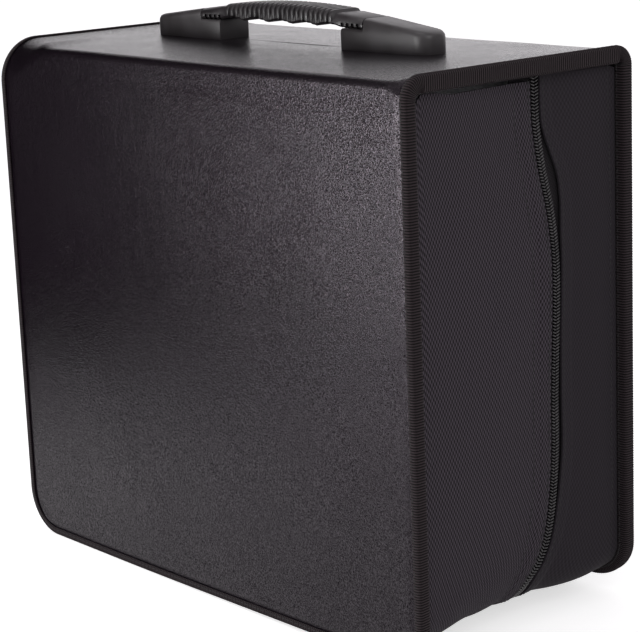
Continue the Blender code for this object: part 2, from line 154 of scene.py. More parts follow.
def leatherMaterial():
    # PVC leathercloth, embossed and calendered: black, with a soft broad shine broken by a pebble grain
    # (drawn a little coarser than the real 0.6 mm, so that it shows) and by faint rubs and creases
    look = leatherLook
    material, tree, shader = startMaterial("embossedLeathercloth", look["dark"], 0.42,
                                           Specular_IOR_Level=look["meanShine"],
                                           Specular_Tint=(1.0, 0.89, 1.0, 1.0))
    place = addNode(tree, "TexCoord", {}, "Object")
    stretched = addNode(tree, "Mapping", {"Vector": place, "Scale": (1.0, 1.0, 0.28)})
    bend = addNode(tree, "TexNoise", {"Vector": place, "Scale": 1 / (3 * mm), "Detail": 2.0}, "Color")
    warped = addNode(tree, "Mix", {0: 0.0012, 4: place, 5: bend}, 1, data_type="VECTOR")
    pebbles = addNode(tree, "TexVoronoi", {"Vector": warped, "Scale": 1 / look["grain"]},
                      feature="SMOOTH_F1")
    fine = addNode(tree, "TexNoise", {"Vector": place, "Scale": 1 / look["fineGrain"], "Detail": 3.0})
    streaks = addNode(tree, "TexNoise", {"Vector": stretched, "Scale": 1 / look["streak"],
                                         "Detail": 6.0, "Roughness": 0.7})
    scuffs = addNode(tree, "TexNoise", {"Vector": place, "Scale": 1 / look["scuff"],
                                        "Detail": 5.0, "Roughness": 0.65})
    grain = weightedSum(tree, (pebbles, 0.9), (fine, 0.8))
    surface = weightedSum(tree, (grain, 1.0), (streaks, 1.0))
    rubs = weightedSum(tree, (scuffs, 0.6), (streaks, 0.4))
    worn = addNode(tree, "MapRange", {"Value": rubs, "From Min": 0.35, "From Max": 0.65})
    speckled = weightedSum(tree, (worn, 0.45), (grain, 0.35))
    shine = addNode(tree, "MapRange", {"Value": grain, "From Min": 0.53, "From Max": 1.07,
                                       "To Min": look["valleyShine"], "To Max": look["ridgeShine"]})
    roughness = addNode(tree, "MapRange", {"Value": worn, "To Min": 0.24, "To Max": 0.17})
    finishMaterial(tree, shader, (surface, 0.75, look["height"]), speckled, (look["dark"], look["light"]),
                   Specular_IOR_Level=shine, Roughness=roughness)
    return material


def liningMaterial():
    # Non-woven polyester lining: matt and slightly fuzzy, with a fine dimpled bonding pattern
    material, tree, shader = startMaterial("nonWovenLining", "#252425", 0.9, Sheen_Weight=0.25,
                                           Sheen_Roughness=0.5)
    place = addNode(tree, "TexCoord", {}, "Object")
    dimples = addNode(tree, "TexVoronoi", {"Vector": place, "Scale": 1 / (1.6 * mm)})
    fibres = addNode(tree, "TexNoise", {"Vector": place, "Scale": 1 / (0.5 * mm), "Detail": 3.0})
    height = weightedSum(tree, (dimples, 1.0), (fibres, 1.0))
    finishMaterial(tree, shader, (height, 0.5, 0.15 * mm))
    return material


def wovenMaterial(name, look):
    # Woven polyester: matt and dull, with fine ribs that slant over the cloth and cross. They are drawn
    # coarser than the real 1 mm, so that they show. The UV map is in metres of cloth
    material, tree, shader = startMaterial(name, look["dark"], look["roughness"],
                                           Sheen_Weight=look["sheen"], Sheen_Roughness=0.45,
                                           Specular_IOR_Level=0.12)
    cloth = addNode(tree, "UVMap", {}, uv_map="cloth")
    run, rise = [addNode(tree, "SeparateXYZ", {0: cloth}, axis) for axis in "XY"]
    slope = math.radians(look["ribAngle"])  # of the rib, off the direction across the cloth
    turn = 2 * math.pi / look["ribPitch"]
    ribs = []
    for way in (-1, 1):
        wave = weightedSum(tree, (run, math.cos(slope) * turn), (rise, way * math.sin(slope) * turn))
        ribs.append(addNode(tree, "Math", {0: wave}, operation="COSINE"))
    fibres = addNode(tree, "TexNoise", {"Vector": cloth, "Scale": 1 / (0.7 * mm), "Detail": 3.0})
    surface = weightedSum(tree, (ribs[1], look["counterShare"]), (ribs[0], look["ribShare"]),
                          (fibres, 0.7))
    shade = addNode(tree, "MapRange", {"Value": surface, "From Min": -0.25, "From Max": 1.0})
    finishMaterial(tree, shader, (surface, 0.8, look["height"]), shade, (look["dark"], look["light"]))
    return material


def plasticMaterial(name, dark, light, roughness, grain, height):
    # Injection-moulded plastic with a fine spark-eroded skin: dull highlights, paler where it is rubbed
    material, tree, shader = startMaterial(name, dark, roughness)
    place = addNode(tree, "TexCoord", {}, "Object")
    skin = addNode(tree, "TexNoise", {"Vector": place, "Scale": 1 / grain, "Detail": 3.0})
    patches = addNode(tree, "TexNoise", {"Vector": place, "Scale": 1 / (14 * mm), "Detail": 3.0})
    tone = addNode(tree, "MapRange", {"Value": patches, "From Min": 0.35, "From Max": 0.7})
    dullness = addNode(tree, "MapRange", {"Value": patches, "From Min": 0.3, "From Max": 0.7,
                                          "To Min": roughness - 0.05, "To Max": roughness + 0.06})
    finishMaterial(tree, shader, (skin, 0.5, height), tone, (dark, light), Roughness=dullness)
    return material


def metalMaterial(name, colour, worn, roughness):
    # Die-cast or stamped metal, plated: tight reflections, softened by handling marks
    material, tree, shader = startMaterial(name, colour, roughness, Metallic=1.0)
    place = addNode(tree, "TexCoord", {}, "Object")
    marks = addNode(tree, "TexNoise", {"Vector": place, "Scale": 1 / (1.8 * mm), "Detail": 5.0,
                                       "Roughness": 0.7})
    tone = addNode(tree, "MapRange", {"Value": marks, "From Min": 0.4, "From Max": 0.75})
    dullness = addNode(tree, "MapRange", {"Value": marks, "From Min": 0.3, "From Max": 0.8,
                                          "To Min": roughness - 0.08, "To Max": roughness + 0.15})
    finishMaterial(tree, shader, (marks, 0.2, 0.05 * mm), tone, (colour, worn), Roughness=dullness)
    return material


def sleeveMaterial():
    # White non-woven backing seen behind the clear pockets: milky, with a bonded fleck
    material, tree, shader = startMaterial("nonWovenSleeve", "#d9dadc", 0.8)
    place = addNode(tree, "TexCoord", {}, "Object")
    fleck = addNode(tree, "TexVoronoi", {"Vector": place, "Scale": 1 / (1.8 * mm)})
    tone = addNode(tree, "MapRange", {"Value": fleck, "From Min": 0.1, "From Max": 0.7})
    finishMaterial(tree, shader, (fleck, 0.4, 0.1 * mm), tone, ("#c9cacd", "#e2e3e4"))
    return material


def filmMaterial():
    # Clear polypropylene pocket film: nearly invisible face on, with wavy bright reflections
    material, tree, shader = startMaterial("clearPocketFilm", "#e8ecef", 0.12, Alpha=0.22)
    place = addNode(tree, "TexCoord", {}, "Object")
    waves = addNode(tree, "TexNoise", {"Vector": place, "Scale": 1 / (18 * mm), "Detail": 2.0})
    finishMaterial(tree, shader, (waves, 0.6, 1.5 * mm))
    return material


leathercloth = leatherMaterial()
lining = liningMaterial()
bindingTape = wovenMaterial("polyesterGrosgrain", {
    "dark": "#060404", "light": "#332b2e", "ribPitch": 1.45 * mm, "ribAngle": 0.0,
    "counterShare": 0.0, "ribShare": 0.85, "height": 0.25 * mm, "roughness": 0.85,
    "sheen": 0.05})
gussetCloth = wovenMaterial("polyesterTwillCloth", {
    "dark": "#161316", "light": "#4c464d", "ribPitch": 1.9 * mm, "ribAngle": 60.0,
    "counterShare": 0.42, "ribShare": 0.45, "height": 0.32 * mm, "roughness": 0.9,
    "sheen": 0.03})
backGussetCloth = wovenMaterial("polyesterPlainCloth", {
    "dark": "#1d1a1d", "light": "#353136", "ribPitch": 1.9 * mm, "ribAngle": 60.0,
    "counterShare": 0.2, "ribShare": 0.2, "height": 0.12 * mm, "roughness": 0.9,
    "sheen": 0.03})
zipTapeCloth = wovenMaterial("zipTapeCloth", {
    "dark": "#121012", "light": "#252225", "ribPitch": 1.3 * mm, "ribAngle": 45.0,
    "counterShare": 0.3, "ribShare": 0.4, "height": 0.10 * mm, "roughness": 0.8,
    "sheen": 0.05})
coilNylon = plasticMaterial("nylonCoil", "#201e1f", "#363435", 0.34, 0.6 * mm, 0.02 * mm)
thread = plasticMaterial("spunPolyesterThread", "#100f10", "#1a181a", 0.8, 0.3 * mm, 0.08 * mm)
handlePlastic = plasticMaterial("mouldedPolypropylene", "#2b2829", "#363335", 0.42, 0.5 * mm,
                                0.03 * mm)
gripPlastic = plasticMaterial("ribbedPolypropylene", "#1b181a", "#282426", 0.38, 0.5 * mm, 0.03 * mm)
# Near-black, dull plastic on the faces between the grip's ribs: painted shade in the rib gaps
ribGapPaintedShadePlastic = plasticMaterial("ribGapPaintedShadePolypropylene", "#070606", "#0c0b0b", 0.75, 0.5 * mm, 0.03 * mm)
binderPlastic = plasticMaterial("extrudedPolystyrene", "#2b2b2c", "#343435", 0.45, 0.6 * mm,
                                0.03 * mm)
lacqueredZinc = metalMaterial("lacqueredZinc", "#3b3a3c", "#6a6869", 0.34)
platedSteel = metalMaterial("zincPlatedSteel", "#b9b7b2", "#d6d4cf", 0.28)
sleeveSheet = sleeveMaterial()
pocketFilm = filmMaterial()
print("materials ready")


# Mesh helpers

def meshOf(name, bm):
    mesh = bpy.data.meshes.new(name)
    bm.to_mesh(mesh)
    bm.free()
    return mesh


def placeObject(name, data):
    made = bpy.data.objects.new(name, data)
    bpy.context.scene.collection.objects.link(made)
    return made


def showPiece(name, bm, materials, body=None, stands=(), smoothAngle=38):
    mesh = meshOf(name, bm)
    for material in materials:
        mesh.materials.append(material)
    mesh.shade_smooth()
    mesh.set_sharp_from_angle(angle=math.radians(smoothAngle))
    piece = placeObject(name, mesh)
    if body:
        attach(piece, body)
    if stands:
        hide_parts(*stands)
    return piece


def acrossHinge(piece):  # cloth that turns round the fold between the spine and a cover; only its placement is baked into its points
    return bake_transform(piece)


def shapedGrid(columns, rows, place, cloth=None, closed=False, capped=False):
    # A flat grid whose points are carried to their places; cloth gives the UV of a point in metres
    bm = bmesh.new()
    bmesh.ops.create_grid(bm, x_segments=columns, y_segments=rows, size=1.0)
    cell = {v: (round((v.co.x + 1) / 2 * columns), round((v.co.y + 1) / 2 * rows)) for v in bm.verts}
    if cloth:
        layer = bm.loops.layers.uv.new("cloth")
        for face in bm.faces:
            for loop in face.loops:
                loop[layer].uv = cloth(*cell[loop.vert])
    for vertex, (column, row) in cell.items():
        vertex.co = place(column, row)
    if closed:
        bmesh.ops.remove_doubles(bm, verts=bm.verts, dist=1e-6)
    if capped:
        bmesh.ops.holes_fill(bm, edges=[e for e in bm.edges if e.is_boundary])
    bmesh.ops.recalc_face_normals(bm, faces=bm.faces)
    return bm


def copiesOf(template, places):
    # One small closed shape at many places
    stock = meshOf("stock", template)
    bm = bmesh.new()
    for matrix in places:
        copy = stock.copy()
        copy.transform(matrix)
        bm.from_mesh(copy)
        bpy.data.meshes.remove(copy)
    bpy.data.meshes.remove(stock)
    return bm


def bead(length, width, height, around=6, rings=5):
    bm = bmesh.new()
    bmesh.ops.create_uvsphere(bm, u_segments=around, v_segments=rings, radius=0.5)
    bmesh.ops.rotate(bm, cent=(0, 0, 0), matrix=Matrix.Rotation(math.pi / 2, 3, "Y"), verts=bm.verts)
    bmesh.ops.scale(bm, vec=(length, width, height), verts=bm.verts)
    return bm


def standing(place, along, out):  # a matrix with X along the run and Z out of the surface
    along = along.normalized()
    across = out.cross(along).normalized()
    out = along.cross(across)
    return Matrix.Translation(place) @ Matrix((along, across, out)).transposed().to_4x4()


# The wrap: one sheet of leathercloth over a spine board and a cover board, on each side

fold = {
    "front": (26 * mm, 13 * mm),   # radius at the left and the right end
    "back": (20 * mm, 11 * mm),
    "middle": 5.5 * mm,
    "leftReach": 62 * mm,
    "rightReach": 16 * mm,
}
wrap = {
    "columns": 132, "spineRows": 22, "foldRows": 14, "coverRows": 122,
    "coverBoard": 5.5 * mm, "spineBoard": 7.0 * mm, "hingeCloth": 2.0 * mm,
    "hingeGap": 11 * mm,           # the cloth between the two boards is soft for this length
    "rim": 0.5 * mm, "rimReach": 4 * mm, "crown": 1.0 * mm, "sag": 2.0 * mm,
    "crease": 0.3 * mm, "creaseDrop": 9 * mm, "creaseHalf": 3.0 * mm,
    "dent": 0.35 * mm, "dentSize": 55 * mm,
    "tight": 0.6,                  # share by which the points crowd towards the edges
}
bindingTapeShape = {
    "outerLeg": 4.6 * mm, "innerLeg": 6.2 * mm, "edgeRound": 2.2 * mm, "thickness": 0.9 * mm,
    "ribPitch": 1.45 * mm, "ribHeight": 0.28 * mm,
    "step": 1.45 * mm / 4,         # four rows of points to a rib
    "columnWidth": 1.6 * mm, "stitchInset": 1.2 * mm, "stitchPitch": 3.5 * mm,
    "stitchLength": 2.7 * mm, "stitchWidth": 0.75 * mm, "stitchHeight": 0.5 * mm,
    "stitchSink": 0.1 * mm, "lipDrop": 0.15 * mm, "lipReach": 0.5 * mm,
}
settle = {"upTo": 120 * mm, "from": -0.5, "whole": 0.85}  # the last two are shares of the half width
# How far the soft right end stands off the floor: (place across, lift) in millimetres
settleLift = [
    (-83, 2.0), (-60, 4.5), (-38, 7.0), (-22, 4.5), (-5, 2.0), (15, 2.0), (35, 3.0), (55, 6.0), (68, 8.5),
    (83, 10.7),
]


def foldRadius(side, x):
    left, right = fold["front"] if side < 0 else fold["back"]
    leftShare = 1 - ease((x + case["halfWidth"]) / fold["leftReach"])
    rightShare = 1 - ease((case["halfWidth"] - x) / fold["rightReach"])
    return fold["middle"] + (left - fold["middle"]) * leftShare + (right - fold["middle"]) * rightShare


def endShare(x):  # 1 at the two ends of the spine, 0 in the middle
    return (foldRadius(-1, x) - fold["middle"]) / (min(fold["front"]) - fold["middle"])


def spineSection(side, x, part, share, bottom=0.0):
    # A point on the outer face: over the spine (0), round the fold (1) or down the cover (2)
    radius = foldRadius(side, x)
    flat = case["halfDepth"] - radius
    sag = wrap["sag"] * (1 - ease(endShare(x)))  # the spine hangs a little between its bound ends
    top = case["height"] - sag
    angle = 0.0
    y, z = flat * share, case["height"] - sag * share * share
    if part == 1:
        angle = share * math.pi / 2
        y = flat + radius * math.sin(angle)
        z = top - radius + radius * math.cos(angle)
    elif part == 2:
        angle = math.pi / 2
        y = case["halfDepth"]
        z = top - radius + (bottom - top + radius) * share
    return Vector((x, side * y, z)), Vector((0, side * math.sin(angle), math.cos(angle)))


def foldDistance(side, x, part, share):
    # How far a point lies from the fold's round, along the sheet
    radius = foldRadius(side, x)
    if part == 0:
        return (case["halfDepth"] - radius) * (1 - share)
    if part == 1:
        return 0.0
    return (case["height"] - radius) * share


def boardThickness(side, x, part, share):
    board = wrap["spineBoard"] if part == 0 else wrap["coverBoard"]
    if part == 1:
        board = wrap["spineBoard"] + (wrap["coverBoard"] - wrap["spineBoard"]) * share
    soft = 1 - ease(foldDistance(side, x, part, share) / wrap["hingeGap"])
    soft *= 1 - ease(endShare(x))
    return board + (wrap["hingeCloth"] - board) * soft


def halfWidthAt(z, inset, radius):  # the outline narrows at the cover's round corners
    half = case["halfWidth"] - inset
    turn = inset + radius
    if z >= turn:
        return half
    return half - radius + math.sqrt(max(0.0, radius ** 2 - (turn - z) ** 2))


def settled(place):
    # The soft case does not stand quite true: towards the right its lower edges lift off the floor
    low = max(0.0, 1 - place.z / settle["upTo"]) ** 2
    lift = between(settleLift, place.y / mm) * mm * low
    span = settle["whole"] - settle["from"]
    lift *= ease((place.x / case["halfWidth"] - settle["from"]) / span)
    return Vector((place.x, place.y, place.z + lift))


def crowded(share, tight):
    return share * (1 - tight) + tight * math.sin(share * math.pi / 2)


def wrapRow(row):
    if row <= wrap["spineRows"]:
        return 0, row / wrap["spineRows"]
    row -= wrap["spineRows"]
    if row <= wrap["foldRows"]:
        return 1, row / wrap["foldRows"]
    return 2, crowded((row - wrap["foldRows"]) / wrap["coverRows"], wrap["tight"])


def puff(side, x, z, part, share):
    # The padded face swells off the tape, dips at the hinge crease and is nowhere quite flat
    sideGap = halfWidthAt(z if part == 2 else case["height"] / 2, 0, case["cornerRadius"]) - abs(x)
    edge = sideGap
    if part == 2:
        edge = min(sideGap, z)
    off = ease((edge - bindingTapeShape["outerLeg"]) / wrap["rimReach"])
    swell = wrap["rim"] * off
    if part == 2:
        upright = max(0.0, min(1.0, z / (case["height"] - foldRadius(side, x))))
        across = max(0.0, 1 - (x / case["halfWidth"]) ** 2)
        swell += wrap["crown"] * off * across * math.sin(math.pi * upright)
        drop = foldDistance(side, x, part, share) - wrap["creaseDrop"]
        inside = 1 - ease(endShare(x))
        swell -= wrap["crease"] * inside * math.exp(-(drop / wrap["creaseHalf"]) ** 2)
    wander = noise.noise(Vector((x, side * 0.3, z if part == 2 else 0.5 + z)) / wrap["dentSize"])
    return swell + wrap["dent"] * off * wander


def makeWrap(side):
    rows = wrap["spineRows"] + wrap["foldRows"] + wrap["coverRows"]
    columns = wrap["columns"]
    bm = bmesh.new()
    bmesh.ops.create_grid(bm, x_segments=columns, y_segments=rows, size=1.0)
    outerFaces = list(bm.faces)
    grown = bmesh.ops.extrude_face_region(bm, geom=outerFaces, use_keep_orig=True)["geom"]
    inner = [part for part in grown if isinstance(part, bmesh.types.BMVert)]
    bmesh.ops.translate(bm, vec=(0, 0, -1), verts=inner)
    for face in bm.faces:
        face.material_index = 1 if max(v.co.z for v in face.verts) < -0.5 else 0
    for vertex in bm.verts:
        across = crowded(abs(vertex.co.x), wrap["tight"]) * (1 if vertex.co.x > 0 else -1)
        part, share = wrapRow(round((vertex.co.y + 1) / 2 * rows))
        x = across * (case["halfWidth"] - case["recess"])
        place, out = spineSection(side, x, part, share, case["recess"])
        x = across * halfWidthAt(place.z, case["recess"], case["cornerRadius"] - case["recess"])
        place, out = spineSection(side, x, part, share, case["recess"])
        if vertex.co.z > -0.5:
            depth = case["recess"] - puff(side, x, place.z, part, share)
        else:
            depth = case["recess"] + boardThickness(side, x, part, share)
        vertex.co = settled(place - out * depth)
    bmesh.ops.recalc_face_normals(bm, faces=bm.faces)
    word = "front" if side < 0 else "back"
    stands = (f"{word}_cover", "spine_panel")
    return acrossHinge(showPiece(f"{word}_leather_wrap", bm, [leathercloth, lining],
                                 stands=stands))


# The binding: grosgrain folded over the edge, from the middle of the spine round to the middle again

def bindingStations(side):
    half, radius, step = case["halfWidth"], case["cornerRadius"], bindingTapeShape["step"]
    stations = []

    def addStation(place, inward, out, band):
        run = 0.0
        if stations:
            run = stations[-1][4] + (place - stations[-1][0]).length
        stations.append((place, inward, out, band, run))

    def addEnd(x, turnBack):
        inward = Vector((-1 if x > 0 else 1, 0, 0))
        foldRound = foldRadius(side, x)
        lengths = (case["halfDepth"] - foldRound, foldRound * math.pi / 2,
                   case["height"] - foldRound - radius)
        places = []
        for part, length in enumerate(lengths):
            count = max(2, round(length / step))
            places += [(part, k / count) for k in range(count)]
        places.append((2, 1.0))
        for part, share in reversed(places) if turnBack else places:
            place, out = spineSection(side, x, part, share, radius)
            band = boardThickness(side, x, part, share) + 2 * case["recess"]
            addStation(place, inward, out, band)

    def addCorner(centreX, start):
        count = round(radius * math.pi / 2 / step)
        for k in range(1, count):
            angle = start + k / count * math.pi / 2
            spoke = Vector((math.cos(angle), 0, math.sin(angle)))
            place = Vector((centreX, side * case["halfDepth"], radius)) + spoke * radius
            addStation(place, -spoke, Vector((0, side, 0)), case["coverBand"])

    addEnd(-half, False)
    addCorner(-half + radius, math.pi)
    length = 2 * (half - radius)
    count = round(length / step)
    for k in range(count + 1):
        place = Vector((-half + radius + length * k / count, side * case["halfDepth"], 0))
        addStation(place, Vector((0, 0, 1)), Vector((0, side, 0)), case["coverBand"])
    addCorner(half - radius, 1.5 * math.pi)
    addEnd(half, True)
    return stations


def tapeOutline(band):
    # (inset from the edge, depth from the outer face), round the folded tape and back inside it
    shape = bindingTapeShape
    r, t = shape["edgeRound"], shape["thickness"]
    leg, drop, lip = shape["outerLeg"], shape["lipDrop"], shape["lipReach"]
    outer = [(leg, drop), (leg - lip, 0.0), ((leg + r) / 2, 0.0)]
    for k in range(5):
        angle = k / 4 * math.pi / 2
        outer.append((r - r * math.sin(angle), r - r * math.cos(angle)))
    for k in range(5):
        angle = k / 4 * math.pi / 2
        outer.append((r - r * math.cos(angle), band - r + r * math.sin(angle)))
    outer += [(shape["innerLeg"] - lip, band), (shape["innerLeg"], band - drop)]
    back = [(shape["innerLeg"], band - t), (r, band - t), (t, band - r), (t, r), (r, t),
            (leg, t)]
    return outer, back


def makeBinding(side):
    stations = bindingStations(side)
    shape = bindingTapeShape
    outerCount = len(tapeOutline(case["coverBand"])[0])
    backCount = len(tapeOutline(case["coverBand"])[1])
    columns = outerCount + backCount

    def place(column, row):
        origin, inward, out, band, run = stations[row]
        outer, back = tapeOutline(band)
        inset, depth = (outer + back)[column % columns]
        if column % columns < outerCount:
            rib = shape["ribHeight"] * (0.5 - 0.5 * math.cos(2 * math.pi * run / shape["ribPitch"]))
            middle = band / 2
            inset += rib * (1 if inset < shape["edgeRound"] else 0)
            depth += rib * (1 if depth < middle else -1) * (1 if inset > shape["edgeRound"] / 2 else 0)
        return settled(origin + inward * inset - out * depth)

    def cloth(column, row):
        return stations[row][4], column * shape["columnWidth"]

    bm = shapedGrid(columns, len(stations) - 1, place, cloth, closed=True, capped=True)
    word = "front" if side < 0 else "back"
    stands = [f"{word}_binding"] + (["spine_binding_left", "spine_binding_right"] if side < 0 else [])
    piece = showPiece(f"{word}_binding_tape", bm, [bindingTape], stands=stands,
                      smoothAngle=60)
    return acrossHinge(piece), stations


def makeBindingStitches(side, stations):
    shape = bindingTapeShape
    places, reached = [], 0.0
    for current, following in zip(stations, stations[1:]):
        origin, inward, out, band, run = current
        if run < reached:
            continue
        reached = run + shape["stitchPitch"]
        along = following[0] - origin
        near = origin + inward * (shape["outerLeg"] - shape["stitchInset"])
        far = origin + inward * (shape["innerLeg"] - shape["stitchInset"]) - out * band
        places.append(standing(settled(near - out * shape["stitchSink"]), along, out))
        places.append(standing(settled(far + out * shape["stitchSink"]), along, -out))
    bm = copiesOf(bead(shape["stitchLength"], shape["stitchWidth"], shape["stitchHeight"]), places)
    word = "front" if side < 0 else "back"
    return acrossHinge(showPiece(f"{word}_binding_stitches", bm, [thread]))


for side in (-1, 1):
    makeWrap(side)
    tape, tapeStations = makeBinding(side)
    makeBindingStitches(side, tapeStations)
print("leathercloth wraps and bindings ready")


# The gusset walls, which follow the edge down the left, along the bottom and up the right

gusset = {
    "columns": 44, "sideRows": 96, "cornerRows": 22, "bottomRows": 96,
    "coverInset": 6.2 * mm, "middleInset": 5.0 * mm, "zipInset": 8.5 * mm,
    "coverRadius": 21 * mm, "zipRadius": 31 * mm, "thickness": 1.2 * mm,
    "wave": 0.9 * mm, "waveSize": 52 * mm, "hem": 0.5 * mm, "hemWidth": 7 * mm,
    "tight": 0.45,                 # share by which the points crowd towards the zip
    "topGap": 2.2 * mm, "gapFrom": 24 * mm, "gapReach": 20 * mm,
    "topRise": 10 * mm, "tightRise": 4 * mm, "topFoot": -1 * mm, "tightFoot": 6 * mm,
    "rightFrom": 0.65,             # of the half width, where the right wall's own line is reached
    "frontSlit": 4.0 * mm, "plainSlit": 5.5 * mm,
    "slack": 12 * mm,              # the cloth is held still this near to the zip
    "bowRate": 1.15,
    "stitchLines": {-1: (1.8 * mm, 13.5 * mm), 1: (1.8 * mm, 42 * mm)},
    "stitchPitch": 3.3 * mm, "stitchLength": 2.5 * mm, "stitchWidth": 0.7 * mm,
    "stitchHeight": 0.5 * mm, "stitchLift": 0.05 * mm,
}
# How the zip wanders on the right wall: (height, place across) in millimetres
zipWander = [
    (9, 9), (14, 7.6), (21, 7.2), (28, 9), (36, 13.9), (48, 20.4), (69, 25.3), (97, 27.9), (125, 28.2),
    (152, 29.3), (179, 30.5), (200, 30.4), (217, 28.6), (229, 26.4), (241, 23.3), (252, 20.5),
    (266, 17.8), (277, 16.4), (300, 15.8),
]
# The back wall's hem stands off the zip where the slit gapes: (height, gap) in millimetres
backSlit = [
    (20, 5.0), (45, 4.0), (72, 4.2), (99, 5.3), (126, 4.8), (169, 3.5), (200, 4.2), (218, 5.6), (236, 9.0),
    (248, 9.9), (258, 7.8), (269, 4.8), (277, 3.6), (290, 3.4),
]


def rightShare(x):
    return ease(x / (gusset["rightFrom"] * case["halfWidth"]))


def zipAcross(x, z):
    return zipStraight + (between(zipWander, z / mm) * mm - zipStraight) * rightShare(x)


def slitGap(side, x, z):
    onRight = gusset["frontSlit"] if side < 0 else between(backSlit, z / mm) * mm
    return gusset["plainSlit"] + (onRight - gusset["plainSlit"]) * rightShare(x)


def runRow(row, counts):
    for part, count in enumerate(counts):
        if row <= count or part == len(counts) - 1:
            return part, row / count
        row -= count


def runPoint(part, share, inset, radius, leftTop, rightTop):
    # A point of the run in X and Z, and the direction out of the case there
    side = case["halfWidth"] - inset
    turnX, turnZ = side - radius, inset + radius
    if part == 0:
        return Vector((-side, 0, leftTop + (turnZ - leftTop) * share)), Vector((-1, 0, 0))
    if part == 4:
        return Vector((side, 0, turnZ + (rightTop - turnZ) * share)), Vector((1, 0, 0))
    if part == 2:
        return Vector((-turnX + 2 * turnX * share, 0, inset)), Vector((0, 0, -1))
    start = math.pi if part == 1 else 1.5 * math.pi
    spoke = Vector((math.cos(start + share * math.pi / 2), 0, math.sin(start + share * math.pi / 2)))
    return Vector((-turnX if part == 1 else turnX, 0, turnZ)) + spoke * radius, spoke


gussetRows = (gusset["sideRows"], gusset["cornerRows"], gusset["bottomRows"], gusset["cornerRows"],
              gusset["sideRows"])
gussetStart = case["coverBand"] + 0.3 * mm
wallTop = case["height"] - case["spineBand"] - 1.0 * mm


def gussetTop(side, depth, onRight):
    # The free top hem: low beside the fold, then just under the spine's tape
    tight = onRight and side > 0
    rise = ease((depth - gussetStart) / gusset["tightRise" if tight else "topRise"])
    foot = hingeLevel + gusset["tightFoot" if tight else "topFoot"]
    level = foot + (wallTop - foot) * rise
    if onRight and side < 0:
        level -= gusset["topGap"] * ease((depth - gusset["gapFrom"]) / gusset["gapReach"])
    return level


def gussetPoint(side, part, share, across, lift=0.0):
    # Across runs from the cover (0) to the slit at the zip (1)
    reach = case["halfDepth"] - side * zipStraight
    bow = math.sin(math.pi * min(1.0, across * gusset["bowRate"]))
    rise = ease(across)
    inset = gusset["coverInset"] + (gusset["zipInset"] - gusset["coverInset"]) * rise
    inset += (gusset["middleInset"] - gusset["coverInset"]) * bow
    radius = gusset["coverRadius"] + (gusset["zipRadius"] - gusset["coverRadius"]) * rise
    depth = gussetStart + (reach - gussetStart) * across
    tops = [gussetTop(side, depth, onRight) for onRight in (False, True)]
    place, out = runPoint(part, share, inset, radius, *tops)
    edge = case["halfDepth"] - side * zipAcross(place.x, place.z) - slitGap(side, place.x, place.z)
    depth = gussetStart + (edge - gussetStart) * across
    place.y = side * (case["halfDepth"] - depth)
    toSlit = edge - depth
    free = ease(across * 5) * ease(toSlit / gusset["slack"])
    wave = noise.noise(Vector((place.x, place.y, place.z)) / gusset["waveSize"])
    wave += 0.4 * noise.noise(Vector((place.x * 2, place.y * 3, place.z)) / gusset["waveSize"])
    hem = gusset["hem"] * (1 - ease((toSlit - gusset["hemWidth"]) / (1.0 * mm)))
    fall = gusset["wave"] * free * (wave - 0.35)
    return settled(place + out * (fall + hem + lift)), out


def makeGusset(side):
    columns, rows = gusset["columns"], sum(gussetRows)
    lengths = [0.0]
    for row in range(1, rows + 1):
        before = gussetPoint(side, *runRow(row - 1, gussetRows), 0.5)[0]
        lengths.append(lengths[-1] + (gussetPoint(side, *runRow(row, gussetRows), 0.5)[0] - before).length)
    width = case["halfDepth"] - side * zipStraight - gussetStart

    def share(column):
        return crowded(column / columns, gusset["tight"])

    def place(column, row):
        return gussetPoint(side, *runRow(row, gussetRows), share(column))[0]

    def cloth(column, row):
        return lengths[row], share(column) * width

    bm = shapedGrid(columns, rows, place, cloth)
    word = "front" if side < 0 else "back"
    rightWall = [f for f in bm.faces if f.calc_center_median().x > 0.8 * case["halfWidth"]]
    if sum(f.normal.x for f in rightWall) < 0:
        bmesh.ops.reverse_faces(bm, faces=bm.faces)
    bmesh.ops.solidify(bm, geom=bm.faces, thickness=gusset["thickness"])
    material = gussetCloth if side < 0 else backGussetCloth
    piece = showPiece(f"{word}_gusset_cloth", bm, [material], f"{word}_half",
                      stands=[f"{word}_gusset"])
    return piece


def makeGussetStitches(side):
    places = []
    reach = case["halfDepth"] - side * zipStraight - gussetStart
    fine = 8
    total = sum(gussetRows)
    for inset in gusset["stitchLines"][side]:
        across = 1 - inset / reach
        before, walked = None, 0.0
        for k in range(total * fine + 1):
            row = k / fine
            whole = min(int(row), total - 1)
            part, low = runRow(whole, gussetRows)
            if low == 1.0:
                part, low = part + 1, 0.0
            high = low + 1 / gussetRows[part]
            share = low + (high - low) * (row - whole)
            place, out = gussetPoint(side, part, share, across, gusset["stitchLift"])
            if before is not None:
                walked += (place - before).length
                if walked >= gusset["stitchPitch"]:
                    places.append(standing(place, place - before, out))
                    walked = 0.0
            before = place
    word = "front" if side < 0 else "back"
    bm = copiesOf(bead(gusset["stitchLength"], gusset["stitchWidth"], gusset["stitchHeight"]), places)
    return showPiece(f"{word}_gusset_stitches", bm, [thread], f"{word}_half")


# The zip: two tapes, each with a row of coil teeth, along the wandering line

zipShape = {
    "level": 8.9 * mm, "radius": gusset["zipRadius"], "tapeStart": 0.7 * mm, "tapeReach": 16.5 * mm,
    "tapeLevel": 2.0 * mm, "tapeThickness": 0.6 * mm, "tapeColumns": 6,
    "toothPitch": 1.75 * mm, "toothLength": 3.3 * mm,
    "toothWidth": 1.05 * mm, "toothHeight": 1.8 * mm, "toothCentre": 1.35 * mm, "slant": 24.0,
    "step": 1.0 * mm, "parkGap": 8.5 * mm,
}


